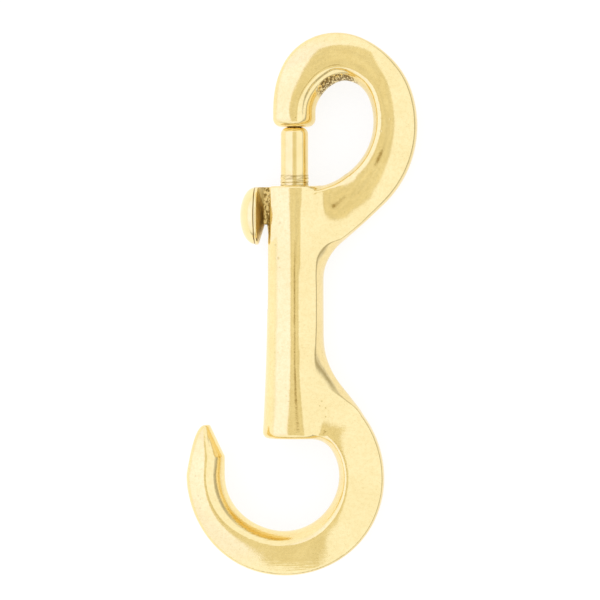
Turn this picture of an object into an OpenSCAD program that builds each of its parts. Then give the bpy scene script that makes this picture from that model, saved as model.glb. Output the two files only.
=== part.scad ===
// Open-eye bolt snap. One brass casting makes the snap hook, the round barrel and the open hook.
// A spring pushes the bolt up out of the barrel to shut the snap hook, and a thumb knob that rides
// in a slot draws it back. The snap lies flat: +Y runs up the barrel and +Z is up.

/* [Barrel] */
// Length of the round barrel
barrel_len = 46; // [42:0.1:52]
// Radius of the barrel over its upper half
barrel_r = 4.95; // [4.8:0.05:5.6]
// Extra radius at the flared foot
foot_flare = 0.9; // [0.5:0.05:1.2]
// Length over which the foot flares
flare_len = 30; // [20:0.5:34]
// Edge radius at the foot
foot_round = 1.2; // [0.4:0.1:2]
// Edge radius at the mouth
mouth_round = 0.4; // [0.2:0.1:0.8]
// Depth of the blind bore
bore_depth = 36; // [34:0.5:40]

/* [Hook bar] */
// Thickness of the bar that both hooks are bent from
bar_thick = 8.2; // [7:0.1:9]
// Height of the bar's outer edge, as a share of its thickness
outer_edge = 0.64; // [0.5:0.01:0.85]
// Height of the bar's inner edge, as a share of its thickness
inner_edge = 0.88; // [0.75:0.01:0.95]
// How far the outer wall bulges past its edge
outer_bulge = 0.25; // [0.1:0.05:0.6]
// How far the inner wall bulges past its edge at the hooks' roots
root_bulge = 1.35; // [0.8:0.05:2]
// How far the inner wall bulges past its edge at the hooks' tips
tip_bulge = 2.6; // [1.8:0.1:3]
// Sideways offset of the bar's middle from the bore where it runs along the barrel
spine_x = 1.05; // [0.6:0.05:1.4]
// Width of the bar along the barrel
spine_w = 8.4; // [7.6:0.1:9]
// Thickness of the bar along the barrel
spine_thick = 8.8; // [8.4:0.1:9.4]

/* [Snap hook] */
// Open gap between the barrel's mouth and the hook's tip
gate_gap = 10.9; // [9:0.1:12]
// Straight run up from the tip
tip_len = 2.7; // [2:0.1:4]
// Edge radius round the end of the tip
tip_round = 1.5; // [0.8:0.1:2]
// Mid-line radius up the cheek, from the tip to the nose
cheek_r = 11.8; // [10:0.1:14]
// Turn of the bar up the cheek, in degrees
cheek_turn = 35; // [30:1:40]
// Mid-line radius over the nose
nose_r = 7.7; // [7:0.1:8.5]
// Turn of the bar over the nose, in degrees
nose_turn = 73; // [68:1:78]
// Mid-line radius at the crown
crown_r = 10.6; // [9.8:0.1:11.6]
// Turn of the bar at the crown, in degrees
crown_turn = 52; // [44:1:60]
// Mid-line radius down the back
back_r = 15.7; // [14.5:0.1:17]
// Slope of the strap that leads back to the barrel, in degrees
strap_slope = 41.5; // [38:0.5:45]
// Mid-line radius where the strap turns down along the barrel
throat_r = 13.9; // [11:0.1:15]
// Width of the bar at the tip
tip_w = 7.7; // [7:0.1:8.4]
// Width of the bar over the nose
nose_w = 9.3; // [8.6:0.1:9.8]
// Width of the bar at the crown
crown_w = 7.6; // [6.9:0.1:8.1]
// Width of the strap
strap_w = 9; // [8.2:0.1:9.6]
// Radius of the fillet between the barrel's mouth and the strap
mouth_fillet = 9.5; // [7:0.5:10]

/* [Open hook] */
// Mid-line radius where the bar leaves the barrel
heel_r = 19.6; // [17:0.5:22]
// Slope of the bar from the barrel to the bowl, in degrees
heel_slope = 52.5; // [48:0.5:55]
// Mid-line radius of the bowl on the barrel's side
bowl_r = 13.9; // [13:0.1:14.6]
// Mid-line radius of the bowl on the toe's side
cup_r = 14.4; // [13.6:0.1:15.2]
// Turn of the bar on the toe's side, in degrees
cup_turn = 120; // [110:1:130]
// Sideways place of the bowl's centre
bowl_x = -1.6; // [-2.6:0.1:-1]
// Drop of the bowl's centre below the barrel's foot
bowl_drop = 7.0; // [6.4:0.1:7.8]
// Length of the pointed toe above the bowl's centre
toe_len = 9; // [7:0.1:10]
// Length of the bevel on the inner side of the point
bevel_len = 5.8; // [4:0.1:6.6]
// Width of the bar at the heel
heel_w = 8.8; // [8.2:0.1:9.6]
// Width of the bar where the bowl starts
bend_w = 8.2; // [7.6:0.1:8.8]
// Width of the bar below the heel
belly_w = 8.5; // [7.9:0.1:9.1]
// Width of the bar at the bottom of the bowl
bowl_w = 8.0; // [7.3:0.1:8.5]
// Width of the bar below the point
toe_w = 6.9; // [6.2:0.1:7.6]
// Radius of the fillet between the barrel's foot and the bowl
foot_fillet = 5; // [3.5:0.1:5.6]

/* [Bolt] */
// Radius of the bolt above its guide
bolt_r = 2.5; // [2.2:0.05:2.55]
// Radius of the guide that slides in the bore
guide_r = 2.6; // [2.5:0.02:2.8]
// Length of the guide that shows above the barrel
guide_show = 2.2; // [1:0.1:4]
// Length of the bolt inside the barrel
bolt_inside = 14; // [13:0.5:16]
// Edge radius at the bolt's nose
nose_round = 1.0; // [0.4:0.1:1.6]
// Radius of the spigot that centres the spring
spigot_r = 1.5; // [1.1:0.05:1.6]
// Length of the spigot
spigot_len = 4; // [2:0.5:5]

/* [Thumb knob] */
// Diameter of the knob
knob_d = 10.6; // [9:0.1:11]
// Height of the knob's dome
dome_h = 2.65; // [2:0.05:3.5]
// Thickness of the knob's rim
rim_t = 0.8; // [0.4:0.05:1.2]
// Depth of the knob's hollowed cone behind the rim
cone_h = 0.95; // [0.6:0.05:1.4]
// Gap between the cone and the barrel
knob_gap = 0.6; // [0.4:0.05:1]
// Thickness of the fin that carries the knob
fin_t = 2.1; // [1.8:0.05:2.4]
// Height of the fin behind the knob
fin_h = 7; // [5:0.1:8]
// Height of the fin inside the slot
fin_root_h = 10.3; // [9:0.1:11.5]
// Radius of the rivet shank through the bolt
shank_r = 1; // [0.8:0.05:1.1]

/* [Spring] */
// Wire diameter
wire_d = 0.5; // [0.4:0.05:0.55]
// Number of working turns
coils = 11; // [8:1:13]
// Outer radius of the spring
spring_r = 2.35; // [2.2:0.02:2.5]

/* [Fits] */
// Radial clearance of the guide in the bore
slide_gap = 0.06; // [0.03:0.01:0.1]
// Clearance on each side of the fin in the slot
slot_gap = 0.15; // [0.1:0.05:0.25]
// Clearance of pieces that seat on each other
seat_gap = 0.02; // [0.01:0.01:0.05]
// Play left past the bolt's travel
end_play = 0.3; // [0.2:0.1:0.6]

/* [Hidden] */
$fn = 64;

BRASS = [0.86, 0.7, 0.38];
POLISHED = [0.92, 0.77, 0.45];
STEEL = [0.7, 0.7, 0.68];

// Places along the barrel, measured from its middle
mouth_y = barrel_len / 2;
foot_y = -barrel_len / 2;
tip_y = mouth_y + gate_gap;
bore_r = guide_r + slide_gap;
bore_y = mouth_y - bore_depth;
knob_y = mouth_y - knob_d / 2;
travel = gate_gap + 0.1;
bolt_end_y = mouth_y - bolt_inside;
slot_w = fin_t + 2 * slot_gap;
slot_end_y = mouth_y - fin_root_h - travel - end_play;
scoop_r = 2.7;
scoop_low = 0.2;
scoop_out = 0.5;
neck_r = 1.9;
rim_edge = 0.1;
tail_step = 0.25;
tail_slope = 0.35;

// The bar's mid-line as a chain of stretches from the snap hook's tip to the open hook's point.
// Each is [turn to the left in degrees, radius], or [0, length] where it runs straight.
strap_turn = 90 - strap_slope;
back_turn = 270 - strap_slope - cheek_turn - nose_turn - crown_turn;
to_strap = [
    [0, tip_len], [-cheek_turn, cheek_r], [-nose_turn, nose_r], [-crown_turn, crown_r],
    [-back_turn, back_r]
];
strap_top = last(joints([0, tip_y, 90], to_strap));
strap_len = (strap_top.x - spine_x - throat_r * (1 - cos(strap_turn))) / cos(strap_slope);
snap_hook = concat(to_strap, [[0, strap_len], [strap_turn, throat_r]]);
spine_top = last(joints([0, tip_y, 90], snap_hook));

heel_turn = 90 - heel_slope;
bowl = [bowl_x, foot_y - bowl_drop];
bowl_top = bowl + bowl_r * [cos(heel_turn), sin(heel_turn)];
heel_len = (bowl_top.x - spine_x - heel_r * (1 - cos(heel_turn))) / cos(heel_slope);
spine_foot_y = bowl_top.y + heel_len * sin(heel_slope) + heel_r * sin(heel_turn);
bowl_turn = 270 - heel_slope - cup_turn;
open_hook = [
    [heel_turn, heel_r], [0, heel_len], [-bowl_turn, bowl_r], [-cup_turn, cup_r], [0, toe_len]
];

chain = concat(snap_hook, [[0, spine_top.y - spine_foot_y]], open_hook);
stops = joints([0, tip_y, 90], chain);
strap_at = len(to_strap);
spine_at = len(snap_hook);
bowl_at = spine_at + 3;
chain_end = len(chain);
toe_start = chain_end - 1;

// Widths and edge shapes of the bar as [place along the chain, value]. Place 2.5 is half-way along
// the stretch after the second joint.
WIDTHS = [
    [1, tip_w], [2.3, nose_w], [3.5, crown_w], [5.6, strap_w], [7, spine_w], [8, spine_w],
    [9.7, heel_w], [10.25, bend_w], [10.75, belly_w], [11.35, bowl_w], [11.9, toe_w]
];
THICKS = [[5, bar_thick], [6.4, spine_thick], [8.6, spine_thick], [10, bar_thick]];
INNER_BULGES = [[0, tip_bulge], [5.5, root_bulge], [9.5, root_bulge], [12, tip_bulge]];
// Along the barrel the bar's outer edge stands higher and its wall bulges more.
SPINE_SHARE = [[5.2, 0], [6.4, 1], [8.6, 1], [9.8, 0]];
spine_edge = 0.86;
spine_bulge = 1;
crown_place = 0.62;
crown_power = 2.6;
ring_step = 1.5;
face_steps = 7;
wall_steps = 4;
point_share = 0.3;

function last(list) = list[len(list) - 1];

// A pose is [x, y, heading].
function run_on(pose, length) =
    [pose.x + length * cos(pose.z), pose.y + length * sin(pose.z), pose.z];
function turn_on(pose, turn, r) =
    let (side = sign(turn), to = pose.z + turn)
    [pose.x + side * r * (sin(to) - sin(pose.z)), pose.y - side * r * (cos(to) - cos(pose.z)), to];
function along(pose, stretch, share) =
    stretch[0] == 0
        ? run_on(pose, stretch[1] * share)
        : turn_on(pose, stretch[0] * share, stretch[1]);
function joints(pose, list, i = 0) =
    i == len(list) ? [pose] : concat([pose], joints(along(pose, list[i], 1), list, i + 1));
function stretch_len(stretch) =
    stretch[0] == 0 ? stretch[1] : abs(stretch[0]) * PI / 180 * stretch[1];
function place(p) =
    let (i = min(floor(p), chain_end - 1))
    along(stops[i], chain[i], p - i);

// Value at p that eases from one entry of a table to the next.
function glide(table, p, i = 0) =
    p <= table[0][0] ? table[0][1]
    : i == len(table) - 1 ? table[i][1]
    : p > table[i + 1][0] ? glide(table, p, i + 1)
    : let (t = (p - table[i][0]) / (table[i + 1][0] - table[i][0]))
      table[i][1] + (table[i + 1][1] - table[i][1]) * t * t * (3 - 2 * t);

// The bar's inner side widens in a fillet where it runs into each end of the barrel. A fillet is
// [centre, radius, the point where it leaves the bar's edge, level just inside the barrel's end,
// 1 if the bar runs towards the barrel or -1 if it runs away].
sunk = 0.2;
mouth_side =
    let (
        uphill = [cos(strap_slope), sin(strap_slope)],
        strap = [stops[strap_at].x, stops[strap_at].y] + strap_w / 2 * [-uphill.y, uphill.x],
        corner = strap + uphill * (mouth_y - strap.y) / uphill.y,
        run = mouth_fillet * tan(strap_slope / 2)
    )
    [corner + [-run, mouth_fillet], mouth_fillet, corner + run * uphill, mouth_y - sunk, 1];
foot_side =
    let (
        edge_r = bowl_r - bend_w / 2,
        drop = bowl_drop - foot_fillet,
        reach = [sqrt((edge_r - foot_fillet) ^ 2 - drop ^ 2), drop]
    )
    [bowl + reach, foot_fillet, bowl + reach * edge_r / (edge_r - foot_fillet), foot_y + sunk, -1];

// Reach of the bar's inner side at a pose: its own half-width, or as far as the fillet.
function widened(pose, half, fillet) =
    let (
        from = [pose.x, pose.y],
        ahead = [cos(pose.z), sin(pose.z)],
        across = [ahead.y, -ahead.x],
        off = from - fillet[0],
        nearest = off * across,
        chord = nearest ^ 2 - off * off + fillet[1] ^ 2,
        to_side = (from.x + spine_w / 2 - spine_x) / -across.x,
        to_arc = chord > 0 ? -nearest - sqrt(chord) : to_side,
        to_end = abs(across.y) > 0.01 ? (fillet[3] - from.y) / across.y : to_side,
        inside = from.x + to_end * across.x < fillet[0].x
    )
    (from + half * across - fillet[2]) * ahead * fillet[4] < 0 ? half
    : max(half, min(to_side, inside ? to_end : to_arc));
function inner_half(p, half) =
    p > strap_at && p < spine_at ? widened(place(p), half, mouth_side)
    : p > spine_at + 1 && p < bowl_at + 1 ? widened(place(p), half, foot_side)
    : half;

// The tip's end is rounded off: how far the section draws in at a distance d from the end.
function tip_inset(d) = d >= tip_round ? 0 : tip_round - sqrt(tip_round ^ 2 - (tip_round - d) ^ 2);

// The toe narrows to a point: its outer side curves in and its inner side is bevelled.
function toe_outer(d, half) = half * max(min(1, d / toe_len), 0.002) ^ 0.4;
function toe_inner(d, half) = min(half, half * (0.2 + 0.8 * d / bevel_len));
function toe_thick(d) = point_share + (1 - point_share) * min(1, d / toe_len) ^ 0.6;

// Section of the bar at place p, as points [u, v] with u from the outer to the inner side.
function section(p) =
    let (
        d_tip = p < 1 ? p * tip_len : tip_len,
        d_toe = p > toe_start ? (chain_end - p) * toe_len : toe_len,
        half = glide(WIDTHS, p) / 2,
        inset = p < 1 ? tip_inset(d_tip) : 0,
        thick = (glide(THICKS, p) / 2 - inset) * toe_thick(d_toe),
        outer = p > toe_start ? toe_outer(d_toe, half) : half - inset,
        inner = p > toe_start ? toe_inner(d_toe, half) : inner_half(p, half) - inset,
        shrink = min(1, (outer + inner) / 2 / half),
        spine = glide(SPINE_SHARE, p),
        out_h = thick * (outer_edge + (spine_edge - outer_edge) * spine),
        in_h = thick * inner_edge,
        out_b = (outer_bulge + (spine_bulge - outer_bulge) * spine) * shrink,
        in_b = glide(INNER_BULGES, p) * shrink,
        out_u = -outer + out_b,
        in_u = inner - in_b,
        mid_u = out_u + (in_u - out_u) * crown_place,
        upper = concat(
            [for (k = [0:2]) let (t = k / 2) [-outer + out_b * t * t, out_h * t]],
            [for (k = [1:face_steps - 1])
                let (
                    u = out_u + (in_u - out_u) * k / face_steps,
                    edge = u < mid_u ? out_u : in_u,
                    low = u < mid_u ? out_h : in_h
                )
                [u, thick - (thick - low) * (abs(u - mid_u) / abs(edge - mid_u)) ^ crown_power]],
            [for (k = [wall_steps:-1:0]) let (t = k / wall_steps) [inner - in_b * t * t, in_h * t]]
        )
    )
    concat(upper, [for (k = [len(upper) - 2:-1:1]) [upper[k].x, -upper[k].y]]);

// A section's points set square across the mid-line.
function ring(p) =
    let (pose = place(p))
    [for (q = section(p)) [pose.x + q.x * sin(pose.z), pose.y - q.x * cos(pose.z), -q.y]];

function ring_places() =
    concat(
        [for (a = [0:30:60]) tip_round * (1 - cos(a)) / tip_len],
        [tip_round / tip_len],
        [for (i = [1:toe_start - 1])
            let (n = ceil(stretch_len(chain[i]) / ring_step))
            for (k = [0:n - 1]) i + k / n],
        [for (k = [0:7]) toe_start + (1 - (1 - k / 8) ^ 1.3)],
        [chain_end - 0.02, chain_end]
    );

// Closed skin through rings that all have the same number of points.
module skin(rings) {
    n = len(rings[0]);
    m = len(rings);
    points = [for (r = rings) each r];
    sides = [
        for (i = [0:m - 2], k = [0:n - 1])
            let (a = i * n + k, b = i * n + (k + 1) % n)
            each [[a, b, b + n], [a, b + n, a + n]]
    ];
    ends = [[for (k = [n - 1:-1:0]) k], [for (k = [0:n - 1]) (m - 1) * n + k]];
    polyhedron(points, concat(sides, ends), convexity = 8);
}

module along_y() {
    rotate([-90, 0, 0]) children();
}

module hook_bar() {
    skin([for (p = ring_places()) ring(p)]);
}

function flared_r(y) =
    let (t = max(0, foot_y + flare_len - y) / flare_len)
    barrel_r + foot_flare * t * t;

module barrel() {
    foot_r = flared_r(foot_y + foot_round);
    flare_steps = 6;
    flare_top = foot_y + flare_len;
    flare_low = foot_y + foot_round;
    along_y() rotate_extrude() polygon(concat(
        [[0, foot_y]],
        [for (a = [0:30:60]) [foot_r - foot_round * (1 - sin(a)), flare_low - foot_round * cos(a)]],
        [for (k = [0:flare_steps])
            let (y = flare_low + (flare_top - flare_low) * k / flare_steps)
            [flared_r(y), y]],
        [[barrel_r, mouth_y - mouth_round], [barrel_r - mouth_round, mouth_y], [0, mouth_y]]
    ));
}

// The slot for the fin runs down from the mouth, and its lips are scooped out beside the fin.
module slot() {
    outside = barrel_r + foot_flare + 1;
    translate([-outside, slot_end_y, -slot_w / 2])
        cube([outside, mouth_y - slot_end_y + 1, slot_w]);
    translate([-outside, slot_end_y, 0]) rotate([0, 90, 0]) cylinder(d = slot_w, h = outside);
    translate([-barrel_r - scoop_out, mouth_y - fin_root_h, 0])
        along_y() cylinder(r1 = slot_w / 2 + scoop_low, r2 = scoop_r, h = fin_root_h + 0.01);
}

module body() {
    color(BRASS) difference() {
        union() {
            hook_bar();
            barrel();
        }
        translate([0, bore_y, 0]) along_y() cylinder(r = bore_r, h = bore_depth + 1);
        slot();
    }
}

module bolt() {
    color(POLISHED) difference() {
        translate([0, bolt_end_y, 0]) along_y() rotate_extrude() {
            length = tip_y - seat_gap - bolt_end_y;
            guide_top = bolt_inside + guide_show;
            polygon(concat(
                [[0, -spigot_len], [spigot_r, -spigot_len], [spigot_r, 0], [guide_r, 0]],
                [[guide_r, guide_top - (guide_r - bolt_r)], [bolt_r, guide_top]],
                [for (a = [0:22.5:90])
                    [bolt_r - nose_round * (1 - cos(a)), length - nose_round * (1 - sin(a))]],
                [[0, length]]
            ));
        }
        translate([-guide_r - 1, knob_y, 0])
            rotate([0, 90, 0]) cylinder(r = shank_r + seat_gap, h = 2 * guide_r + 2);
    }
}

module thumb_knob() {
    knob_r = knob_d / 2;
    back_x = -barrel_r - knob_gap;
    rim_x = back_x - cone_h;
    color(POLISHED) union() {
        translate([back_x, knob_y, 0]) rotate([0, -90, 0]) rotate_extrude() polygon(concat(
            [[0, 0], [neck_r, 0], [knob_r - rim_edge, cone_h], [knob_r, cone_h + rim_edge]],
            [for (a = [0:10:80]) [knob_r * cos(a), cone_h + rim_t + dome_h * sin(a)]],
            [[0, cone_h + rim_t + dome_h]]
        ));
        translate([0, 0, -fin_t / 2]) linear_extrude(fin_t) polygon([
            [rim_x - rim_edge, mouth_y - rim_edge],
            [rim_x - rim_edge, knob_y],
            [back_x, mouth_y - fin_h],
            [-barrel_r, mouth_y - fin_h + tail_step],
            [-barrel_r + tail_slope, mouth_y - fin_root_h + tail_step],
            [-barrel_r + tail_slope + tail_step, mouth_y - fin_root_h],
            [-bore_r, mouth_y - fin_root_h],
            [-bore_r, mouth_y - rim_edge]
        ]);
        translate([-bore_r - 0.5, knob_y, 0])
            rotate([0, 90, 0]) cylinder(r = shank_r, h = 2 * bore_r);
    }
}

// Mid-line of the spring's wire: squared end turns and evenly pitched working turns.
spring_len = bore_depth - bolt_inside - 2 * seat_gap;
end_turns = 1.2;
turn_steps = 12;
wire_sides = 6;
wire_r = wire_d / 2;
end_rise = end_turns * (wire_d + 0.05);
function wire_height(turn) =
    let (rise = spring_len - wire_d - 2 * end_rise)
    turn < end_turns ? turn * (wire_d + 0.05)
    : turn < end_turns + coils ? end_rise + rise * (turn - end_turns) / coils
    : end_rise + rise + (turn - end_turns - coils) * (wire_d + 0.05);

module spring() {
    turns = coils + 2 * end_turns;
    coil_r = spring_r - wire_r;
    color(STEEL) translate([0, bore_y + seat_gap + wire_r, 0]) along_y() skin([
        for (k = [0:turns * turn_steps])
            let (turn = k / turn_steps, a = 360 * turn)
            [for (s = [0:wire_sides - 1])
                let (b = 360 * s / wire_sides, r = coil_r + wire_r * cos(b))
                [r * cos(a), r * sin(a), wire_height(turn) + wire_r * sin(b)]]
    ]);
}

// The finished snap lies with its lowest point at z = 0, and its bounding box is centred over the
// origin. The hook bar alone reaches the box's four sides.
outline = [for (p = ring_places()) each ring(p)];
xs = [for (q = outline) q.x];
ys = [for (q = outline) q.y];
lift = max(flared_r(foot_y + foot_round), knob_d / 2);
module placed() {
    translate([-(min(xs) + max(xs)) / 2, -(min(ys) + max(ys)) / 2, lift]) children();
}

placed() body();
placed() bolt();
placed() thumb_knob();
placed() spring();
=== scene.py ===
"""Bolt snap hook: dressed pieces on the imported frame. Lengths are in millimetres until a mesh is made."""
import math

import bmesh
import bpy
import numpy as np
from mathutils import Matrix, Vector
from mathutils.kdtree import KDTree


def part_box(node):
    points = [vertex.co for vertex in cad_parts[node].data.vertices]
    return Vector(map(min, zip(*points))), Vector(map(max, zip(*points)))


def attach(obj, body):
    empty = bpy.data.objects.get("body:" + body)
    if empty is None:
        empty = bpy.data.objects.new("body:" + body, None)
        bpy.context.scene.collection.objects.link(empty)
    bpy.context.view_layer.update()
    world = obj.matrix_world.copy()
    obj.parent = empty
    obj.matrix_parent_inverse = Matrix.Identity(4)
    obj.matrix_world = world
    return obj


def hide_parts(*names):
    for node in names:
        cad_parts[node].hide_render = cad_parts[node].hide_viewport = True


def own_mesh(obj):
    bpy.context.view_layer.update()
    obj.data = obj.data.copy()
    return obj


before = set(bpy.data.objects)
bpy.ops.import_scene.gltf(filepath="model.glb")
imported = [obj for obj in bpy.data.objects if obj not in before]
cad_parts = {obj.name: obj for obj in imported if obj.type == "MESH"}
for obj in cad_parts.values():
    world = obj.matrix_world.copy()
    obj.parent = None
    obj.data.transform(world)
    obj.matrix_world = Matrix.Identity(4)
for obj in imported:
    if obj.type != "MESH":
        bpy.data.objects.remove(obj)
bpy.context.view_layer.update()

MM = 0.001

# Sizes of the casting, as in the part's source
BARREL_LEN, BARREL_R, FOOT_FLARE, FLARE_LEN = 46.0, 4.95, 0.9, 30.0
FOOT_ROUND, MOUTH_ROUND, BORE_DEPTH = 1.2, 0.4, 36.0
BAR_THICK, SPINE_THICK = 8.2, 8.8
SPINE_X, SPINE_W = 1.05, 8.4
GATE_GAP, TIP_LEN, TIP_ROUND = 10.9, 2.7, 1.5
CHEEK_R, CHEEK_TURN, NOSE_R, NOSE_TURN = 11.8, 35.0, 7.7, 73.0
CROWN_R, CROWN_TURN, BACK_R, STRAP_SLOPE, THROAT_R = 10.6, 52.0, 15.7, 41.5, 13.9
HEEL_R, HEEL_SLOPE, BOWL_R, CUP_R, CUP_TURN = 19.6, 52.5, 13.9, 14.4, 120.0
BOWL_X, BOWL_DROP, TOE_LEN, BEVEL_LEN = -1.6, 7.0, 9.0, 5.8
MOUTH_FILLET, FOOT_FILLET, STRAP_W, BEND_W = 9.5, 5.0, 9.0, 8.2
# The tables give a value at places along the bar, counted in stretches of its mid-line
WIDTHS = [
    (1, 7.7), (2.3, 9.3), (3.5, 7.6), (5.6, STRAP_W), (7, SPINE_W), (8, SPINE_W),
    (9.7, 8.8), (10.25, BEND_W), (10.75, 8.5), (11.35, 8.0), (11.9, 6.9),
]

# The casting's skin, fitted to where the photo's reflections lie. From here to the sizes of the bolt,
# the scene departs from the part's source: its bar is up to 2.1 mm thinner, with faces of its own
THICKS = [
    (2, BAR_THICK), (3.2, 7.6), (4.55, 7.6), (5.4, 6.6), (6, 6.6), (7, SPINE_THICK), (8, SPINE_THICK),
    (8.6, 7.2), (9.3, 7.1), (10.3, BAR_THICK),
]
# How far the walls bulge out past the face's edges, and the edges' height as a share of the crown's
INNER_BULGES = [(0, 2.6), (2.5, 2.3), (3.4, 1.2), (4.5, 0.9), (9.5, 0.9), (10.2, 1.2), (12, 2.65)]
OUTER_BULGES = [(5.9, 0.12), (6.6, 1.0), (8.6, 1.0), (9.8, 0.12)]
INNER_EDGE = 0.965
OUTER_EDGES = [
    (2.4, 0.64), (3.2, 0.71), (3.7, 0.58), (4.2, 0.53), (5.2, 0.48), (6, 0.5), (7, 0.86), (8, 0.86),
    (9, 0.55), (9.6, 0.44), (10.2, 0.45), (10.85, 0.49), (11.2, 0.63), (11.6, 0.72), (12, 0.64),
]
# Where the crown of the face lies across the bar, and how round the face is beside it
CROWNS = [
    (0, 0.0), (1, 0.4), (2, 1.6), (3, 2.1), (9.3, 2.1), (9.9, 3.0), (10.4, 2.8), (10.8, 2.2),
    (11, 1.8), (11.5, 0.8), (11.8, 0.3), (12, 0.4),
]
CROWN_POWERS = [
    (0, 2.0), (1, 3.0), (2, 3.0), (3.3, 2.6), (4.2, 2.1), (5.8, 2.0), (7, 2.6), (8, 2.6),
    (10, 1.2), (10.9, 1.2), (11.3, 1.5), (11.8, 2.0),
]
# Where the face joins a plane beside the barrel. The plane's top is at WEB_X, and it falls away from
# there by WEB_FALL to +X and by WEB_BACK to -X
WEB_SHARE = [(4.9, 0), (5.3, 1), (6.7, 1), (7.2, 0), (7.8, 0), (8.3, 1), (10.0, 1), (10.4, 0)]
WEB_TOP, WEB_X, WEB_FALL, WEB_BACK = 4.8, 1.2, 0.26, 0.9
# The ends of the barrel's upper face are polished flatter, from POLISH_FROM outwards each way
POLISH_FROM, POLISH_TO_FOOT, POLISH_TO_MOUTH, POLISH_MOST = 8, 0.095, 0.07, 1.35
# The lips beside the slot: lean of their flat tops in degrees, how far out and in they reach, where
# they end, and how deep they sink there
LIP_LEAN, LIP_X, LIP_INNER_X, LIP_END_Y, LIP_FADE = 28, 4.25, 2.32, 13.0, 1.2

# The bolt's nose and the knob's dome, rim and cone, each a little different in the part's source
NOSE_ROUND, DOME_H, RIM_T, CONE_H = 1.3, 2.75, 0.55, 1.1
# Sizes of the bolt, knob and spring, as in the part's source
BOLT_R, GUIDE_R, GUIDE_SHOW, BOLT_INSIDE = 2.5, 2.6, 2.2, 14.0
SPIGOT_R, SPIGOT_LEN = 1.5, 4.0
KNOB_R, KNOB_GAP, NECK_R = 5.3, 0.6, 1.9
FIN_T, FIN_H, FIN_ROOT_H = 2.1, 7.0, 10.3
WIRE_D, COILS, SPRING_R = 0.5, 11, 2.35
SLIDE_GAP, SLOT_GAP, SEAT_GAP, END_PLAY = 0.06, 0.15, 0.02, 0.3

# Grid of the casting's mesh, grid of its quick one, and columns worked out at a time
VOXEL, QUICK_VOXEL, COLUMN_BATCH = 0.3, 0.7, 8192

MOUTH_Y, FOOT_Y = BARREL_LEN / 2, -BARREL_LEN / 2
TIP_Y = MOUTH_Y + GATE_GAP
BORE_R = GUIDE_R + SLIDE_GAP
BORE_Y = MOUTH_Y - BORE_DEPTH
KNOB_Y = MOUTH_Y - KNOB_R
KNOB_BACK_X = -BARREL_R - KNOB_GAP
RIM_X = KNOB_BACK_X - CONE_H
TRAVEL = GATE_GAP + 0.1
BOLT_END_Y = MOUTH_Y - BOLT_INSIDE
SLOT_W = FIN_T + 2 * SLOT_GAP
SLOT_Y = MOUTH_Y - FIN_ROOT_H - TRAVEL - END_PLAY

# Middle of the view, in millimetres from the barrel's middle
VIEW_CENTRE = (1.005, 2.285, 0)
# View and light, in metres and degrees. The cards lie across the camera's line of sight
CAMERA_TILT, CAMERA_FAR, VIEW_WIDTH = 4.3, 0.6, 0.1097
HATCH_HALF, HATCH_NEAR, HATCH_END, HATCH_FAR = 0.188, -0.64, 0.45, 0.62
LENS_R, LENS_SHIFT, LENS_FAR = 0.034, -0.009, 0.61

# Where the barrel's middle lies in the row frame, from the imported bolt
low, high = (np.array(corner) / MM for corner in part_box("bolt"))
ORIGIN = np.array([(low[0] + high[0]) / 2, high[1] - (TIP_Y - SEAT_GAP), (low[2] + high[2]) / 2])


# ---------------------------------------------------------------- mid-line of the bar

def move(pose, stretch, share=1.0):
    """The pose [x, y, heading in degrees] after a share of a stretch: (0, length) or (turn, radius)."""
    x, y, heading = pose
    turn, size = stretch
    a = math.radians(heading)
    if turn == 0:
        return (x + size * share * math.cos(a), y + size * share * math.sin(a), heading)
    b = math.radians(heading + turn * share)
    side = math.copysign(size, turn)
    return (x + side * (math.sin(b) - math.sin(a)), y - side * (math.cos(b) - math.cos(a)), math.degrees(b))


def make_chain():
    """The stretches of the mid-line from the snap hook's tip to the open hook's point."""
    strap_turn, heel_turn = 90 - STRAP_SLOPE, 90 - HEEL_SLOPE
    chain = [
        (0, TIP_LEN), (-CHEEK_TURN, CHEEK_R), (-NOSE_TURN, NOSE_R), (-CROWN_TURN, CROWN_R),
        (-(270 - STRAP_SLOPE - CHEEK_TURN - NOSE_TURN - CROWN_TURN), BACK_R),
    ]
    pose = (0, TIP_Y, 90)
    for stretch in chain:
        pose = move(pose, stretch)
    sideways = pose[0] - SPINE_X - THROAT_R * (1 - math.cos(math.radians(strap_turn)))
    chain += [(0, sideways / math.cos(math.radians(STRAP_SLOPE))), (strap_turn, THROAT_R)]
    for stretch in chain[-2:]:
        pose = move(pose, stretch)
    c, s = math.cos(math.radians(heel_turn)), math.sin(math.radians(heel_turn))
    top = (BOWL_X + BOWL_R * c, FOOT_Y - BOWL_DROP + BOWL_R * s)
    heel_len = (top[0] - SPINE_X - HEEL_R * (1 - c)) / math.cos(math.radians(HEEL_SLOPE))
    foot = top[1] + heel_len * math.sin(math.radians(HEEL_SLOPE)) + HEEL_R * s
    chain += [
        (0, pose[1] - foot), (heel_turn, HEEL_R), (0, heel_len),
        (-(270 - HEEL_SLOPE - CUP_TURN), BOWL_R), (-CUP_TURN, CUP_R), (0, TOE_LEN),
    ]
    return chain


CHAIN = make_chain()
LENGTHS = [size if turn == 0 else abs(math.radians(turn)) * size for turn, size in CHAIN]
CHAIN_END, TOE_START = len(CHAIN), len(CHAIN) - 1
NOSE_AT, STRAP_AT, SPINE_AT, HEEL_AT, CUP_AT = 2, 5, 7, 8, 11
STOPS = [(0, TIP_Y, 90)]
for link in CHAIN:
    STOPS.append(move(STOPS[-1], link))
STEP = 0.04


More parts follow.
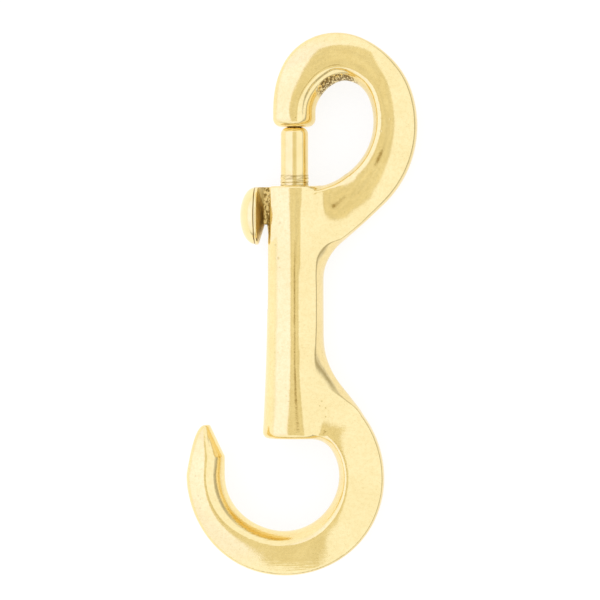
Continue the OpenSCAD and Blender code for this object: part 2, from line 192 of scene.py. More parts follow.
def sample_line():
    """Places, points and headings close together along the mid-line."""
    rows = []
    for i, stretch in enumerate(CHAIN):
        n = max(2, round(LENGTHS[i] / STEP))
        rows += [(i + k / n, *move(STOPS[i], stretch, k / n)) for k in range(n)]
    rows.append((CHAIN_END, *STOPS[-1]))
    rows = np.array(rows)
    heading = np.radians(rows[:, 3])
    return rows[:, 0], rows[:, 1:3], np.stack([np.cos(heading), np.sin(heading)], 1)


LINE_P, LINE_XY, LINE_DIR = sample_line()


def nearest(xy):
    """Index of the mid-line sample nearest to each point."""
    tree = KDTree(len(LINE_XY))
    for i, (x, y) in enumerate(LINE_XY):
        tree.insert((x, y, 0), i)
    tree.balance()
    return np.array([tree.find((x, y, 0))[1] for x, y in xy])


def walk(xy, index):
    """Moves each index to the sample its point has slid to, for points that moved only a little."""
    for _ in range(3):
        along = ((xy - LINE_XY[index]) * LINE_DIR[index]).sum(1)
        index = np.clip(index + np.rint(along / STEP).astype(int), 0, len(LINE_P) - 1)
    return index


# ---------------------------------------------------------------- the casting as a distance field

def glide(table, p):
    """Value at p that eases from one entry of a table to the next."""
    out = np.full(np.shape(p), float(table[0][1]))
    for (p0, v0), (p1, v1) in zip(table, table[1:]):
        t = np.clip((p - p0) / (p1 - p0), 0, 1)
        out += (v1 - v0) * t * t * (3 - 2 * t)
    return out


def round_max(a, b, r):
    """Where both shapes overlap, with the edge between them rounded to radius r."""
    return np.minimum(np.maximum(a, b), -r) + np.hypot(np.maximum(a + r, 0), np.maximum(b + r, 0))


def soft_max(a, b, k):
    """The larger of two values, blended where they are less than k apart."""
    h = np.maximum(k - np.abs(a - b), 0) / k
    return np.maximum(a, b) + h * h * k / 4


def soft_min(a, b, k):
    """The smaller of two values, blended where they are less than k apart."""
    return -soft_max(-a, -b, k)


def fillets():
    """Centre, radius, touching point, level of the barrel's end and direction of both fillets."""
    slope = math.radians(STRAP_SLOPE)
    up = np.array([math.cos(slope), math.sin(slope)])
    strap = np.array(STOPS[STRAP_AT][:2]) + STRAP_W / 2 * np.array([-up[1], up[0]])
    corner = strap + up * (MOUTH_Y - strap[1]) / up[1]
    run = MOUTH_FILLET * math.tan(slope / 2)
    mouth = (corner + [-run, MOUTH_FILLET], MOUTH_FILLET, corner + run * up, MOUTH_Y - 0.2, 1)
    edge_r, drop, bowl = BOWL_R - BEND_W / 2, BOWL_DROP - FOOT_FILLET, np.array([BOWL_X, FOOT_Y - BOWL_DROP])
    reach = np.array([math.sqrt((edge_r - FOOT_FILLET) ** 2 - drop ** 2), drop])
    foot = (bowl + reach, FOOT_FILLET, bowl + reach * edge_r / (edge_r - FOOT_FILLET), FOOT_Y + 0.2, -1)
    return mouth, foot


MOUTH_SIDE, FOOT_SIDE = fillets()


def inner_half(p, at, ahead, half):
    """Reach of the bar's inner side: its own half-width, or as far as the fillet beside the barrel."""
    across = np.stack([ahead[:, 1], -ahead[:, 0]], 1)
    out = half.copy()
    sides = ((MOUTH_SIDE, STRAP_AT, SPINE_AT), (FOOT_SIDE, HEEL_AT, CUP_AT))
    for (centre, r, touch, level, way), first, last in sides:
        off = at - centre
        middle = (off * across).sum(1)
        chord = middle ** 2 - (off ** 2).sum(1) + r ** 2
        with np.errstate(divide="ignore", invalid="ignore"):
            to_side = np.where(across[:, 0] < -0.01, (at[:, 0] + SPINE_W / 2 - SPINE_X) / -across[:, 0], 99)
            to_arc = np.where(chord > 0, -middle - np.sqrt(np.maximum(chord, 0)), to_side)
            to_end = np.where(np.abs(across[:, 1]) > 0.01, (level - at[:, 1]) / across[:, 1], to_side)
        inside = at[:, 0] + to_end * across[:, 0] < centre[0]
        past = ((at + half[:, None] * across - touch) * ahead).sum(1) * way >= 0
        wide = np.maximum(half, np.minimum(to_side, np.where(inside, to_end, to_arc)))
        out = np.where(past & (p > first) & (p < last), wide, out)
    return out


def polish(y, z):
    """How flat the upper faces of the barrel's ends are polished, growing from 0."""
    grown = np.maximum(POLISH_TO_FOOT * (-POLISH_FROM - y), POLISH_TO_MOUTH * (y - POLISH_FROM))
    return np.where(z > 0, np.clip(grown, 0, POLISH_MOST), 0)


def flare(y):
    """How far the barrel's side stands out past its plain radius, growing towards the foot."""
    return FOOT_FLARE * (np.maximum(0, FOOT_Y + FLARE_LEN - y) / FLARE_LEN) ** 2


def bar_field(xy, z, index):
    """Distance to the swept bar. xy and index have one row a column of points, z one column a level."""
    p, at, ahead = LINE_P[index], LINE_XY[index], LINE_DIR[index]
    off = xy - at
    along = (off * ahead).sum(1)
    u = (off[:, 0] * ahead[:, 1] - off[:, 1] * ahead[:, 0])[:, None]
    on_toe = p > TOE_START
    d_toe = np.where(on_toe, (CHAIN_END - p) * TOE_LEN, TOE_LEN)
    half = glide(WIDTHS, p) / 2
    outer = np.where(on_toe, half * np.maximum(np.minimum(1, d_toe / TOE_LEN), 0.002) ** 0.4, half)
    bevel = np.minimum(half, half * (0.2 + 0.8 * d_toe / BEVEL_LEN))
    inner = np.where(on_toe, bevel, inner_half(p, at, ahead, half))
    thick = glide(THICKS, p) / 2 * (0.3 + 0.7 * np.minimum(1, d_toe / TOE_LEN) ** 0.6)
    shrink = np.minimum(1, (outer + inner) / 2 / half)
    out_h, in_h = thick * glide(OUTER_EDGES, p), thick * INNER_EDGE
    out_b, in_b = glide(OUTER_BULGES, p) * shrink, glide(INNER_BULGES, p) * shrink
    out_u, in_u = out_b - outer, inner - in_b
    mid_u = np.clip(glide(CROWNS, p) * shrink, out_u + 0.4, in_u + 0.5)
    web = glide(WEB_SHARE, p)[:, None]
    power = glide(CROWN_POWERS, p)
    outer, inner, thick, out_h, in_h, out_b, in_b, out_u, in_u, mid_u, power = (
        v[:, None] for v in (outer, inner, thick, out_h, in_h, out_b, in_b, out_u, in_u, mid_u, power))

    span = np.where(u < mid_u, mid_u - out_u, np.maximum(in_u - mid_u, 0.3))
    drop = thick - np.where(u < mid_u, out_h, in_h)
    t = np.minimum(np.abs(u - mid_u) / span, 1.6)
    slope = drop * power * t ** (power - 1) / span
    face = (np.abs(z) - thick + drop * t ** power) / np.sqrt(1 + slope ** 2)
    away = xy[:, :1] - WEB_X
    top = WEB_TOP + 0.6 * flare(xy[:, 1:]) - polish(xy[:, 1:], z) ** 2 / 4
    level = top - np.maximum(WEB_FALL * away, -WEB_BACK * away)
    plane = (np.abs(z) - level) / math.hypot(1, WEB_FALL)
    face += (soft_min(face, plane, 0.3) - face) * web
    lean_out, lean_in = 2 * out_b * z / out_h ** 2, 2 * in_b * z / in_h ** 2
    outside = (out_b * (z / out_h) ** 2 - outer - u) / np.sqrt(1 + lean_out ** 2)
    inside = (u - inner + in_b * (z / in_h) ** 2) / np.sqrt(1 + lean_in ** 2)
    side = round_max(soft_max(face, outside, 0.5), inside, 0.3)
    # distance past the bar's ends, which cut it off square
    on_tip, on_toe, deep_in = (p < 1)[:, None], on_toe[:, None], -9.0
    at_an_end = (p <= 0.02)[:, None] | (p >= CHAIN_END - 0.005)[:, None]
    past_end = np.where(p < 1, -along, np.where(p > TOE_START, along, deep_in))[:, None]
    end = np.where(at_an_end, past_end, np.where(on_tip, (-p * TIP_LEN)[:, None], deep_in))
    toe = np.where(on_toe, round_max(side, end, 0.25), side)
    return np.where(on_tip, round_max(side, end, TIP_ROUND), toe)


def barrel_field(x, y, z):
    """Distance to the barrel, with its flared foot, its flattened ends and the lips beside the slot."""
    r = BARREL_R + flare(y)
    slope = 2 * FOOT_FLARE * np.maximum(0, FOOT_Y + FLARE_LEN - y) / FLARE_LEN ** 2
    round_part = (np.hypot(x, z) - r) / np.sqrt(1 + slope ** 2)
    flat = polish(y, z)
    side = np.where(flat > 0, soft_max(round_part, np.abs(z) - r + flat - 1, 1.0), round_part)
    # the lips are left full, with a flat top
    lean = math.radians(LIP_LEAN)
    fade = LIP_FADE * np.clip((LIP_END_Y + 2 - y) / 4, 0, 1) ** 2
    lips = np.abs(z) * math.cos(lean) - x * math.sin(lean) - BARREL_R + fade
    side = soft_min(side, np.maximum(np.maximum(lips, -x - LIP_X), x + LIP_INNER_X), 0.1)
    return round_max(round_max(side, FOOT_Y - y, FOOT_ROUND), y - MOUTH_Y, MOUTH_ROUND)


def cut_field(x, y, z):
    """Distance to the bore, the slot and the scooped lips beside the fin."""
    bore = np.maximum(np.hypot(x, z) - BORE_R, BORE_Y - y)
    slot = np.where(y < SLOT_Y, np.hypot(y - SLOT_Y, z), np.abs(z)) - SLOT_W / 2
    scoop_r = 1.4 + 1.3 * np.clip((y - MOUTH_Y + FIN_ROOT_H) / FIN_ROOT_H, 0, 1.2)
    scoop = np.maximum(np.hypot(x + BARREL_R + 0.5, z) - scoop_r, MOUTH_Y - FIN_ROOT_H - y)
    return np.maximum(np.minimum(np.minimum(bore, np.maximum(slot, x)), scoop), y - MOUTH_Y - 1)


def body_field(xy, z, index):
    """Distance to the casting for columns xy and levels z, both in millimetres from the barrel's middle."""
    x, y = xy[:, :1], xy[:, 1:]
    # bar and barrel run into each other softly at their sides and crisply at the barrel's crest
    blend = np.clip(1.5 - 0.28 * np.abs(z), 0.2, 0.7)
    solid = soft_min(bar_field(xy, z, index), barrel_field(x, y, z), blend)
    return round_max(solid, -cut_field(x, y, z), 0.12)


def surface(lowest, highest, voxel):
    """Vertices and quads of the casting's skin, by surface nets on a regular grid."""
    axes = [np.arange(a - 2 * voxel, b + 3 * voxel, voxel) for a, b in zip(lowest, highest)]
    nx, ny, nz = (len(a) for a in axes)
    xy = np.stack(np.meshgrid(axes[0], axes[1], indexing="ij"), 2).reshape(-1, 2)
    column = nearest(xy)
    field = np.empty((nx * ny, nz), np.float32)
    for start in range(0, nx * ny, COLUMN_BATCH):
        part = slice(start, start + COLUMN_BATCH)
        field[part] = body_field(xy[part], axes[2][None, :], column[part])
    field = field.reshape(nx, ny, nz)
    inside = field < 0
    corners = [(i, j, k) for i in (0, 1) for j in (0, 1) for k in (0, 1)]

    def at(grid, i, j, k):
        return grid[i:nx - 1 + i, j:ny - 1 + j, k:nz - 1 + k]

    count = sum(at(inside, *c).astype(np.int8) for c in corners)
    cells = np.argwhere((count > 0) & (count < 8))
    number = np.full((nx - 1, ny - 1, nz - 1), -1)
    number[tuple(cells.T)] = np.arange(len(cells))
    total, hits = np.zeros((len(cells), 3)), np.zeros(len(cells))
    for a in corners:
        for axis in range(3):
            if a[axis]:
                continue
            b = tuple(v + (n == axis) for n, v in enumerate(a))
            fa, fb = (field[tuple((cells + c).T)] for c in (a, b))
            cross = (fa < 0) != (fb < 0)
            t = np.where(cross, fa / np.where(cross, fa - fb, 1), 0)
            spot = np.array(a)[None, :] + t[:, None] * np.eye(3)[axis]
            total += spot * cross[:, None]
            hits += cross
    local = total / hits[:, None]
    verts = np.stack([axes[n][0] + voxel * (cells[:, n] + local[:, n]) for n in range(3)], 1)
    quads = []
    for axis in range(3):
        u, v = (axis + 1) % 3, (axis + 2) % 3
        ahead = np.roll(inside, -1, axis)
        edges = np.argwhere(inside != ahead)
        edges = edges[(edges[:, u] > 0) & (edges[:, v] > 0) & (edges[:, axis] < (nx, ny, nz)[axis] - 1)]
        du, dv = np.eye(3, dtype=int)[u], np.eye(3, dtype=int)[v]
        ring = np.stack([number[tuple((edges - s).T)] for s in (du * 0, du, du + dv, dv)], 1)
        flip = ~inside[tuple(edges.T)]
        ring[flip] = ring[flip][:, ::-1]
        quads.append(ring)
    quads = np.concatenate(quads)
    return verts, quads[(quads >= 0).all(1)], column.reshape(nx, ny), axes


def settle(verts, index):
    """Draws the vertices onto the casting's true surface."""
    def value(points):
        return body_field(points[:, :2], points[:, 2:], walk(points[:, :2], index))[:, 0]

    for _ in range(3):
        f, h = value(verts), 0.02
        slope = np.stack([(value(verts + h * e) - value(verts - h * e)) / (2 * h) for e in np.eye(3)], 1)
        size = np.maximum((slope ** 2).sum(1), 0.25)
        verts = verts - np.clip(f / size, -0.12, 0.12)[:, None] * slope
    return verts


# ---------------------------------------------------------------- meshes

def add_mesh(name, verts, faces, material):
    """A new object in the scene, from vertices in metres."""
    mesh = bpy.data.meshes.new(name)
    mesh.from_pydata([tuple(v) for v in verts], [], [tuple(f) for f in faces])
    mesh.materials.append(material)
    obj = bpy.data.objects.new(name, mesh)
    bpy.context.scene.collection.objects.link(obj)
    return obj


def piece(name, verts, faces, material, smooth=True):
    """A visible piece, from vertices in millimetres from the barrel's middle."""
    obj = add_mesh(name, (np.asarray(verts) + ORIGIN) * MM, faces, material)
    obj.data.polygons.foreach_set("use_smooth", [smooth] * len(obj.data.polygons))
    obj.data.update()
    return obj


def lathe(profile, sides, place):
    """Vertices and quads of a turned form. profile is (radius, distance along the axis)."""
    angles = np.arange(sides) * 2 * math.pi / sides
    verts = [place(r * math.cos(a), r * math.sin(a), d) for r, d in profile for a in angles]
    faces = [
        (k * sides + i, k * sides + (i + 1) % sides, (k + 1) * sides + (i + 1) % sides, (k + 1) * sides + i)
        for k in range(len(profile) - 1) for i in range(sides)
    ]
    ends = [tuple(range(sides))[::-1], tuple(range((len(profile) - 1) * sides, len(profile) * sides))]
    return verts, faces + ends


def arc(centre, r, start, end, steps):
    """Points (radius, distance) round a centre, from one angle to another in degrees."""
    return [
        (centre[0] + r * math.cos(math.radians(a)), centre[1] + r * math.sin(math.radians(a)))
        for a in np.linspace(start, end, steps + 1)
    ]


def make_body(material):
    """The casting: hooks, barrel and web in one skin."""
    lowest, highest = (np.array(corner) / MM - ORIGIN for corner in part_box("body"))
    verts, quads, column, axes = surface(lowest, highest, VOXEL)
    spots = [np.clip(np.searchsorted(axes[n], verts[:, n]) - 1, 0, len(axes[n]) - 1) for n in (0, 1)]
    verts = settle(verts, column[spots[0], spots[1]])
    return piece("cast_body", verts, quads, material)


def make_bolt(material):
    """The turned bolt: spigot, guide, shaft and rounded nose."""
    length = TIP_Y - SEAT_GAP - BOLT_END_Y
    guide_top = BOLT_INSIDE + GUIDE_SHOW
    profile = [(0.001, -SPIGOT_LEN), (SPIGOT_R - 0.3, -SPIGOT_LEN)]
    profile += [(SPIGOT_R, 0.3 - SPIGOT_LEN), (SPIGOT_R, 0), (GUIDE_R - 0.2, 0), (GUIDE_R, 0.2)]
    profile += [(GUIDE_R, BOLT_INSIDE - 1)]
    # turning marks on the stretch of guide that shows above the mouth
    marks = np.linspace(BOLT_INSIDE - 1, guide_top - 0.15, 40)
    profile += [(GUIDE_R - 0.03 - 0.03 * math.cos(9.5 * d), d) for d in marks]
    profile += [(BOLT_R, guide_top + 0.05)]
    profile += [(BOLT_R, guide_top + k * (length - NOSE_ROUND - guide_top) / 12) for k in range(1, 12)]
    profile += arc((BOLT_R - NOSE_ROUND, length - NOSE_ROUND), NOSE_ROUND, 0, 84, 8)
    profile += [(0.7, length), (0.001, length)]
    verts, faces = lathe(profile, 96, lambda a, b, d: (a, BOLT_END_Y + d, -b))
    return piece("turned_bolt", verts, faces, material)


def make_knob(material):
    """The thumb knob, a cone, a rim with a groove and a dome, and its fin."""
    rim, dome_r, dome_at = CONE_H + RIM_T, KNOB_R - 0.1, CONE_H + RIM_T + 0.02
    profile = [(0.001, 0), (NECK_R, 0), (NECK_R + 0.1, 0.05)]
    profile += [(KNOB_R - 0.25, CONE_H - 0.06), (KNOB_R - 0.08, CONE_H + 0.02), (KNOB_R, CONE_H + 0.16)]
    profile += [(KNOB_R, rim - 0.1), (KNOB_R - 0.28, rim - 0.06), (KNOB_R - 0.28, rim), (dome_r, dome_at)]
    angles = np.radians(np.linspace(4, 89.9, 26))
    profile += [(dome_r * math.cos(a), dome_at + (DOME_H - 0.02) * math.sin(a)) for a in angles]
    verts, faces = lathe(profile, 96, lambda a, b, d: (KNOB_BACK_X - d, KNOB_Y + b, a))
    knob = piece("thumb_knob", verts, faces, material)

    outline = [
        (RIM_X - 0.1, MOUTH_Y - 0.1), (RIM_X - 0.1, KNOB_Y), (KNOB_BACK_X, MOUTH_Y - FIN_H),
        (-BARREL_R, MOUTH_Y - FIN_H + 0.25), (-BARREL_R + 0.35, MOUTH_Y - FIN_ROOT_H + 0.25),
        (-BARREL_R + 0.6, MOUTH_Y - FIN_ROOT_H), (-BORE_R, MOUTH_Y - FIN_ROOT_H), (-BORE_R, MOUTH_Y - 0.1),
    ]
    n = len(outline)
    verts = [(x, y, z) for z in (-FIN_T / 2, FIN_T / 2) for x, y in outline]
    faces = [tuple(range(n))[::-1], tuple(range(n, 2 * n))]
    faces += [(i, (i + 1) % n, n + (i + 1) % n, n + i) for i in range(n)]
    fin = piece("thumb_fin", verts, faces, material, smooth=False)
    mesh = bmesh.new()
    mesh.from_mesh(fin.data)
    bmesh.ops.recalc_face_normals(mesh, faces=mesh.faces)
    bmesh.ops.bevel(mesh, geom=mesh.edges[:], offset=0.18 * MM, segments=3, affect="EDGES")
    mesh.to_mesh(fin.data)
    mesh.free()
    return knob, fin


def make_spring(material):
    """Round wire with squared ends and evenly pitched turns between them."""
    length = BORE_DEPTH - BOLT_INSIDE - 2 * SEAT_GAP
    end_turns, pitch = 1.2, WIRE_D + 0.05
    rise = length - WIRE_D - 2 * end_turns * pitch
    turns = np.arange(0, COILS + 2 * end_turns, 1 / 36)
    height = np.interp(turns, [0, end_turns, end_turns + COILS, COILS + 2 * end_turns],
                       [0, end_turns * pitch, end_turns * pitch + rise, 2 * end_turns * pitch + rise])
    sides, r = 10, SPRING_R - WIRE_D / 2
    verts = []
    for turn, y in zip(turns, height):
        a = 2 * math.pi * turn
        for s in range(sides):
            b = 2 * math.pi * s / sides
            out = r + WIRE_D / 2 * math.cos(b)
            verts.append((out * math.cos(a), BORE_Y + SEAT_GAP + WIRE_D / 2 + y + WIRE_D / 2 * math.sin(b),
                          -out * math.sin(a)))
    m = len(turns)
    faces = [
        (k * sides + i, (k + 1) * sides + i, (k + 1) * sides + (i + 1) % sides, k * sides + (i + 1) % sides)
        for k in range(m - 1) for i in range(sides)
    ]
    faces += [tuple(range(sides)), tuple(range((m - 1) * sides, m * sides))[::-1]]
    return piece("coil_spring", verts, faces, material)


# ---------------------------------------------------------------- materials

class Graph:
    """The nodes of a material or a world, added one at a time and joined as they are added."""

    def __init__(self, owner):
        owner.use_nodes = True
        self.owner = owner
        self.nodes = owner.node_tree.nodes
        self.links = owner.node_tree.links
        self.nodes.clear()

    def add(self, kind, out=0, props=None, **inputs):
        """Output number out of a new node. An input is given by its name, or by its number as i0, i1."""
        node = self.nodes.new("ShaderNode" + kind)
        for key, value in (props or {}).items():
            setattr(node, key, value)
        for key, value in inputs.items():
            numbered = key[0] == "i" and key[1:].isdigit()
            socket = node.inputs[int(key[1:]) if numbered else key.replace("_", " ")]
            if isinstance(value, bpy.types.NodeSocket):
                self.links.new(value, socket)
            else:
                socket.default_value = value
        return node.outputs[out]

    def math(self, operation, *values):
        inputs = {f"i{n}": value for n, value in enumerate(values)}
        return self.add("Math", props={"operation": operation}, **inputs)

    def vector(self, operation, a, b, out=0):
        return self.add("VectorMath", out=out, props={"operation": operation}, i0=a, i1=b)

    def axis(self, number):
        """One of the coordinates of place()."""
        return self.add("SeparateXYZ", out=number, Vector=self.place())

    def place(self, scale=(1, 1, 1)):
        """Coordinates in millimetres from the barrel's middle, stretched by scale."""
        in_mm = self.vector("MULTIPLY", self.add("TexCoord", out=3), (1 / MM, 1 / MM, 1 / MM))
        return self.vector("MULTIPLY", self.vector("SUBTRACT", in_mm, tuple(ORIGIN)), scale)

    def noise(self, scale, detail=2.0, stretch=(1, 1, 1), roughness=0.5):
        where = self.place(stretch)
        return self.add("TexNoise", Vector=where, Scale=scale, Detail=detail, Roughness=roughness)

    def ramp(self, value, low, high, to_low=0.0, to_high=1.0):
        """Eases from to_low to to_high as the value goes from low to high."""
        smooth = {"interpolation_type": "SMOOTHSTEP"}
        return self.add("MapRange", props=smooth, i0=value, i1=low, i2=high, i3=to_low, i4=to_high)

    def mix(self, share, a, b):
        return self.add("Mix", out=2, props={"data_type": "RGBA"}, i0=share, i6=a, i7=b)

    def bump(self, height, depth, normal=None):
        """A normal bent by a height of 0 to 1, which stands for depth in millimetres."""
        inputs = {"Height": height, "Distance": depth * MM, "Strength": 1.0}
        if normal is not None:
            inputs["Normal"] = normal
        return self.add("Bump", **inputs)

    def show(self, shader, output="OutputMaterial"):
        """Ends the graph in a shader, and gives the material or world back."""
        node = self.nodes.new("ShaderNode" + output)
        self.links.new(shader, node.inputs["Surface"])
        return self.owner

    def metal(self, colour, roughness, normal):
        return self.show(self.add("BsdfPrincipled", Base_Color=colour, Metallic=1.0, Roughness=roughness,
                                  Normal=normal))


def material_graph(name):
    return Graph(bpy.data.materials.new(name))


# Small pits and dents of the casting: x, y, radius in millimetres from the barrel's middle
PITS = [
    (-17.2, -27.3, 0.22), (-17.8, -29.8, 0.3), (-17.3, -33.4, 0.3), (-16.9, -34.0, 0.22),
    (-17.0, -35.7, 0.35), (5.2, -16.1, 0.22), (4.85, -16.9, 0.2), (5.9, -17.3, 0.22),
    (5.9, -18.9, 0.24), (7.0, -20.6, 0.22), (11.7, -24.2, 0.25), (17.7, 35.1, 0.25),
    (16.0, 32.9, 0.22), (-2.3, 16.3, 0.45), (-3.2, 12.3, 0.35), (-2.7, 9.9, 0.4),
    (-2.4, 8.2, 0.3), (8.0, 17.6, 0.25), (9.1, 19.2, 0.2), (2.1, -45.0, 0.25),
]
# Heights are squeezed for pits, so that one level does for upper faces of different heights
PIT_SQUEEZE, PIT_LEVEL = 0.35, 1.4


def pits(graph):
    """1 in the middle of a pit and 0 away from all of them."""
    here = graph.place((1, 1, PIT_SQUEEZE))
    total = None
    for x, y, r in PITS:
        gap = graph.vector("DISTANCE", here, (x, y, PIT_LEVEL), out=1)
        pit = graph.ramp(gap, r, 0.2 * r)
        total = pit if total is None else graph.math("MAXIMUM", total, pit)
    return total


def rough_crown(graph):
    """1 on the inner wall of the snap hook's nose, which the wheel doesn't reach, and 0 away from it."""
    x, y, heading = STOPS[NOSE_AT]
    a = math.radians(heading)
    centre = (x + NOSE_R * math.sin(a), y - NOSE_R * math.cos(a), 0)
    middle = (7.6, 42.2, 0)
    from_centre = graph.vector("DISTANCE", graph.place((1, 1, 0)), centre, out=1)
    from_middle = graph.vector("DISTANCE", graph.place((1, 1, 0)), middle, out=1)
    wall = graph.ramp(from_centre, NOSE_R - 3.1, NOSE_R - 3.4)
    return graph.math("MULTIPLY", wall, graph.ramp(from_middle, 4.6, 2.9))


def cast_brass():
    """Polished casting: slow waves from the wheel, fine marks, grain and a few pits."""
    g = material_graph("cast_brass")
    cloud = g.ramp(g.noise(0.16, 3), 0.35, 0.7)
    grain = g.noise(2.6, 4, roughness=0.75)
    speck = g.ramp(g.noise(2.0, 3), 0.62, 0.76)
    pit = pits(g)
    chatter = g.ramp(g.noise(2.1, 3, (1.3, 1.0, 0.5), 0.7), 0.44, 0.54)
    # dark, rough streaks on the inner wall of the nose: a darker colour, more roughness and a deeper bump
    # there
    crown_streaks = g.math("MULTIPLY", rough_crown(g), chatter)
    colour = g.mix(cloud, (0.945, 0.805, 0.455, 1), (0.91, 0.765, 0.41, 1))
    mottle = g.ramp(g.noise(1.5, 4, roughness=0.8), 0.4, 0.62)
    colour = g.mix(g.math("MULTIPLY", mottle, 0.36), colour, (0.8, 0.64, 0.3, 1))
    colour = g.mix(g.math("MULTIPLY", speck, 0.34), colour, (0.66, 0.5, 0.2, 1))
    colour = g.mix(crown_streaks, colour, (0.26, 0.17, 0.05, 1))
    colour = g.mix(g.math("MULTIPLY", pit, 0.3), colour, (0.42, 0.31, 0.12, 1))
    roughness = g.ramp(grain, 0.3, 0.75, 0.05, 0.13)
    roughness = g.math("ADD", roughness, g.math("MULTIPLY", crown_streaks, 0.3))
    # marks of the wheel across the barrel, strongest at its foot
    foot = g.ramp(g.axis(1), -9.0, -19.0)
    across = g.math("MULTIPLY", g.noise(1.0, 2, (0.3, 3.2, 0.3), 0.6), g.math("ADD", foot, 0.06))
    normal = g.bump(g.noise(0.11, 2), 0.08)
    normal = g.bump(g.noise(0.8, 2, (1, 0.35, 1)), 0.004, normal)
    normal = g.bump(across, 0.02, normal)
    normal = g.bump(grain, 0.0055, normal)
    normal = g.bump(crown_streaks, 0.16, normal)
    normal = g.bump(g.math("SUBTRACT", 1.0, pit), 0.035, normal)
    return g.metal(colour, roughness, normal)


def turned_brass():
    """Turned and buffed: rings round the bolt's axis, with painted shade just above the barrel's mouth."""
    g = material_graph("turned_brass")
    grain = g.noise(3.0, 3, roughness=0.7)
    streak = g.noise(1.0, 3, (0.5, 5.0, 0.5), 0.6)
    colour = g.mix(g.ramp(g.noise(0.4, 2), 0.35, 0.7), (0.93, 0.79, 0.44, 1), (0.89, 0.74, 0.38, 1))
    colour = g.mix(g.math("MULTIPLY", streak, 0.18), colour, (0.78, 0.6, 0.26, 1))
    # painted shade on the turned rings just above the barrel's mouth, where the bolt goes into it, broken up
    # by the streaks
    guide_top = MOUTH_Y + GUIDE_SHOW
    rings = g.ramp(g.axis(1), guide_top + 0.1, guide_top - 0.2)
    rings = g.math("MULTIPLY", rings, g.ramp(streak, 0.42, 0.62))
    colour = g.mix(g.math("MULTIPLY", rings, 0.75), colour, (0.4, 0.29, 0.1, 1))
    roughness = g.ramp(grain, 0.3, 0.75, 0.09, 0.18)
    normal = g.bump(g.noise(0.35, 2), 0.012)
    normal = g.bump(streak, 0.004, normal)
    normal = g.bump(grain, 0.002, normal)
    return g.metal(colour, roughness, normal)


def knob_brass():
    """The knob's polished dome, with its back and fin left dull and speckled from the mould, painted shade
    on the back cone, darker towards the barrel, and painted shade in the rim's groove.
    """
    g = material_graph("knob_brass")
    grain = g.noise(3.4, 3, roughness=0.7)
    x = g.axis(0)
    back = g.ramp(x, RIM_X - 0.1, RIM_X + 0.1)
    fin = g.ramp(x, KNOB_BACK_X - 0.2, KNOB_BACK_X + 0.2)
    crumbs = g.ramp(g.noise(1.8, 3, (1.0, 0.7, 1.0), 0.65), 0.46, 0.58)
    crumbs = g.math("MULTIPLY", crumbs, g.ramp(fin, 0.0, 1.0, 0.2, 1.0))
    # painted shade: the groove round the rim is coloured darker
    groove = g.ramp(g.math("ABSOLUTE", g.math("SUBTRACT", x, RIM_X - RIM_T + 0.02)), 0.16, 0.06)
    colour = g.mix(g.ramp(g.noise(0.4, 2), 0.35, 0.7), (0.93, 0.8, 0.46, 1), (0.9, 0.76, 0.41, 1))
    # painted shade: the back cone is coloured darker towards the barrel, which it faces, and then mixed with
    # the fin's colour and specks
    cone = g.mix(g.ramp(x, RIM_X, RIM_X + CONE_H), (0.82, 0.66, 0.32, 1), (0.5, 0.37, 0.14, 1))
    dull = g.mix(crumbs, g.mix(fin, cone, (0.88, 0.7, 0.32, 1)), (0.3, 0.2, 0.05, 1))
    colour = g.mix(back, colour, dull)
    colour = g.mix(g.math("MULTIPLY", groove, 0.8), colour, (0.36, 0.24, 0.08, 1))
    roughness = g.math("ADD", g.ramp(grain, 0.3, 0.75, 0.07, 0.15), g.math("MULTIPLY", back, 0.22))
    normal = g.bump(g.noise(0.35, 2), 0.012)
    normal = g.bump(grain, 0.002, normal)
    normal = g.bump(g.math("MULTIPLY", back, crumbs), 0.06, normal)
    return g.metal(colour, roughness, normal)


def spring_steel():
    """Drawn wire with a little stain."""
    g = material_graph("spring_steel")
    stain = g.ramp(g.noise(1.2, 3), 0.4, 0.7)
    colour = g.mix(stain, (0.55, 0.55, 0.54, 1), (0.36, 0.34, 0.3, 1))
    normal = g.bump(g.noise(8.0, 2), 0.002)
    return g.metal(colour, g.ramp(stain, 0.0, 1.0, 0.25, 0.4), normal)


# ---------------------------------------------------------------- studio

def add_floor():
    """A white table top that keeps the snap's soft shadow. Metal sees it warmer, and dimmer to +X."""
    g = material_graph("table_white")
    straight, glossy = g.add("LightPath", out=0), g.add("LightPath", out=3)
    paper = g.add("BsdfDiffuse", Color=(0.86, 0.86, 0.86, 1))
    faint = g.add("BsdfDiffuse", Color=(0.24, 0.24, 0.24, 1))
    white = g.add("Emission", Color=(1, 1, 1, 1), Strength=0.81)
    seen = g.add("AddShader", i0=faint, i1=white)
    across = g.axis(0)
    shade = g.math("MULTIPLY", g.ramp(across, -2, 8, 0.9, 0.8), g.ramp(across, 25, 90, 1.0, 0.6))
    warm = g.add("Emission", Color=(1.0, 0.945, 0.83, 1), Strength=shade)
    mirrored = g.add("AddShader", i0=faint, i1=warm)
    unseen = g.add("MixShader", i0=glossy, i1=paper, i2=mirrored)
    table = g.show(g.add("MixShader", i0=straight, i1=unseen, i2=seen))
    half = 1.5
    corners = [(-half, -half, 0), (half, -half, 0), (half, half, 0), (-half, half, 0)]
    floor = add_mesh("table_top", corners, [(0, 1, 2, 3)], table)


def add_tent():
    """Light tent: white, a little cooler on the thumb knob's side, and dim low down towards +X and -Y."""
    world = bpy.data.worlds.new("light_tent")
    bpy.context.scene.world = world
    g = Graph(world)
    direction = g.add("TexCoord", out=0)

    def along(x, y, z):
        return g.vector("DOT_PRODUCT", direction, (x, y, z), out=1)

    cool = g.mix(g.ramp(along(-0.67, 0.05, 0.74), 0.5, 0.9), (1.0, 1.0, 1.0, 1), (1.0, 1.01, 1.2, 1))
    dim = g.ramp(along(0.8, -0.5, 0), -0.4, 0.5)
    low = g.mix(dim, (0.96, 0.96, 0.92, 1), (0.46, 0.43, 0.35, 1))
    tent = g.mix(g.ramp(along(0, 0, 1), 0.10, 0.34), low, cool)
    g.show(g.add("Background", Color=tent, Strength=1.12), "OutputWorld")


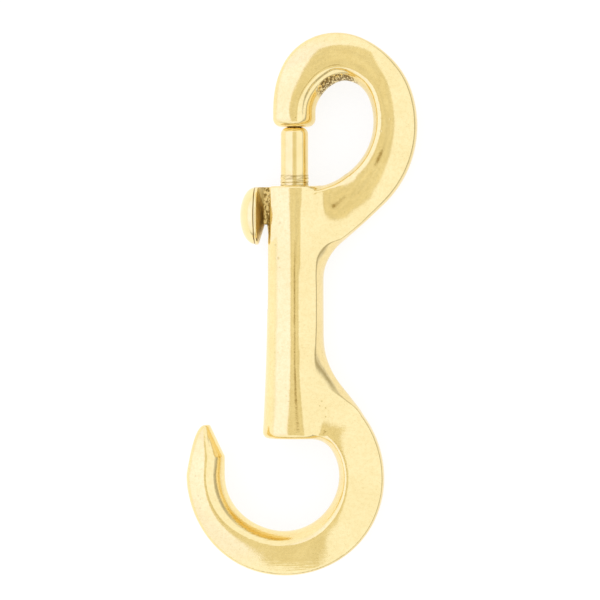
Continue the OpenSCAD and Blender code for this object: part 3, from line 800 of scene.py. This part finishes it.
def add_card(name, outline, height, target, toward, colour):
    """A card over the snap that only its polished metal mirrors. The outline is in metres."""
    g = material_graph(name)
    cloth = g.ramp(g.noise(0.035, 3, roughness=0.65), 0.35, 0.65, 0.86, 1.12)
    glow = g.show(g.add("Emission", Color=(*colour, 1), Strength=cloth))
    right = Vector((toward.z, 0, -toward.x))
    corners = [target + toward * height + right * x + Vector((0, y, 0)) for x, y in outline]
    card = add_mesh(name, corners, [range(len(corners))], glow)
    card.visible_camera = card.visible_diffuse = card.visible_shadow = False


def add_softbox(target):
    """Large soft panel on the thumb knob's side."""
    data = bpy.data.lights.new("softbox", "AREA")
    data.shape, data.size, data.size_y = "RECTANGLE", 0.6, 0.8
    data.energy = 0.1
    panel = bpy.data.objects.new("softbox", data)
    panel.location = target + Vector((-0.47, 0.05, 0.52))
    panel.rotation_euler = (target - panel.location).to_track_quat("-Z", "Y").to_euler()
    bpy.context.scene.collection.objects.link(panel)


def add_camera(target, toward, distance, across):
    """Looks down at the target from toward, with +Y up the picture, and sees a square of side across."""
    data = bpy.data.cameras.new("camera")
    data.sensor_width = 36
    data.lens = 36 * distance / across
    camera = bpy.data.objects.new("camera", data)
    camera.location = target + toward * distance
    camera.rotation_euler = (0, math.atan2(toward.x, toward.z), 0)
    bpy.context.scene.collection.objects.link(camera)
    bpy.context.scene.camera = camera


def main():
    brass, turned, knobbed, steel = cast_brass(), turned_brass(), knob_brass(), spring_steel()
    body = make_body(brass)
    bolt = make_bolt(turned)
    knob, fin = make_knob(knobbed)
    spring = make_spring(steel)
    for obj, carrier, node, slot in (
        (body, "hook", "body", "cast_brass"), (spring, "hook", "spring", "spring_steel"),
        (bolt, "sliding_bolt", "bolt", "turned_brass"),
        (knob, "sliding_bolt", "thumb_knob", "turned_brass"),
        (fin, "sliding_bolt", "thumb_knob", "turned_brass"),
    ):
        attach(obj, carrier)
        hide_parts(node)
    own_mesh(spring)

    tilt = math.radians(CAMERA_TILT)
    toward = Vector((math.sin(tilt), 0, math.cos(tilt)))
    target = Vector((np.array(VIEW_CENTRE) + ORIGIN) * MM)
    add_floor()
    add_tent()
    hatch = [(x, HATCH_NEAR) for x in (-HATCH_HALF, HATCH_HALF)]
    hatch += [(x, HATCH_END) for x in (HATCH_HALF, -HATCH_HALF)]
    add_card("hatch", hatch, HATCH_FAR, target, toward, (0.9, 0.825, 0.6))
    angles = np.arange(32) * math.pi / 16
    lens = [(LENS_R * math.cos(a), LENS_R * math.sin(a) + LENS_SHIFT) for a in angles]
    add_card("lens", lens, LENS_FAR, target, toward, (0.43, 0.33, 0.15))
    add_softbox(target)
    add_camera(target, toward, CAMERA_FAR, VIEW_WIDTH)
    bpy.context.scene.view_settings.view_transform = "Standard"


main()
